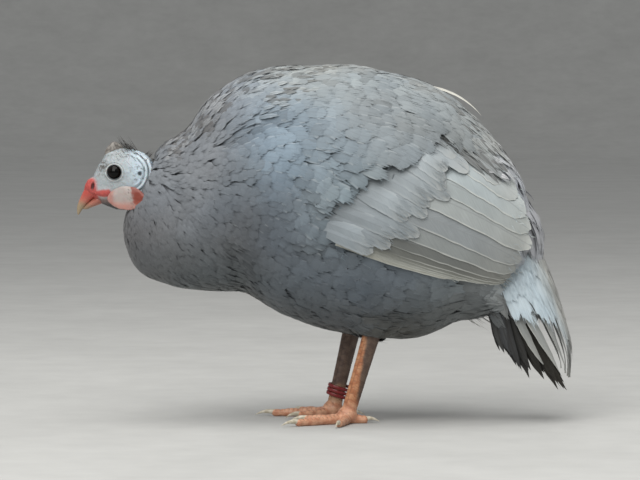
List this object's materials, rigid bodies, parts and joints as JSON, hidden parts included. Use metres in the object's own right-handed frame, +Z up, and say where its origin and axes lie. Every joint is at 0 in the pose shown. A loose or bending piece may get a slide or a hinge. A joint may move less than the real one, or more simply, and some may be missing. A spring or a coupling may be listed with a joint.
{
  "type": "guinea fowl model",
  "caption": "Life-size still model of a standing plain grey guinea fowl, head drawn in and tail hanging, with bare feet, wattles, bony casque and a coiled leg ring",
  "frame": {"origin": "Middle of the bounding box on the floor under the toes, Z = 0 where the soles rest", "axes": "+Z up, the bird looks along -X, its left side is at -Y"},
  "size_m": [0.4268, 0.1952, 0.3043],
  "materials": {
    "plumage": "soft body feathers, pale blue grey, darker on the neck and belly",
    "flight_feathers": "smooth vanes with pale edges and shafts",
    "bare_skin": "bare bluish-white skin, fine wrinkles",
    "casque_horn": "dull grey-brown horn",
    "beak_horn": "horn, pink at its base and buff at the tip",
    "wattle_skin": "white flap with an orange-red end",
    "eye": "wet dark brown eye",
    "leg_scales": "orange-buff horn scutes, slate where dark",
    "claw_horn": "pale horn",
    "ring_plastic": "dark red coiled plastic strip"
  },
  "bodies": {
    "root": {"torso": "plumage", "neck": "plumage", "thigh_left": "plumage", "thigh_right": "plumage", "wing_left": "flight_feathers", "wing_right": "flight_feathers", "tail": "flight_feathers", "head": "bare_skin", "casque": "casque_horn", "beak_upper": "beak_horn", "beak_lower": "beak_horn", "wattle_left": "wattle_skin", "wattle_right": "wattle_skin", "eye_left": "eye", "eye_right": "eye", "shank_left": "leg_scales", "shank_right": "leg_scales", "foot_left": "leg_scales", "foot_right": "leg_scales", "claw_left_1": "claw_horn", "claw_left_2": "claw_horn", "claw_left_3": "claw_horn", "claw_left_4": "claw_horn", "claw_right_1": "claw_horn", "claw_right_2": "claw_horn", "claw_right_3": "claw_horn", "claw_right_4": "claw_horn", "leg_ring": "ring_plastic"}
  },
  "joints": []
}
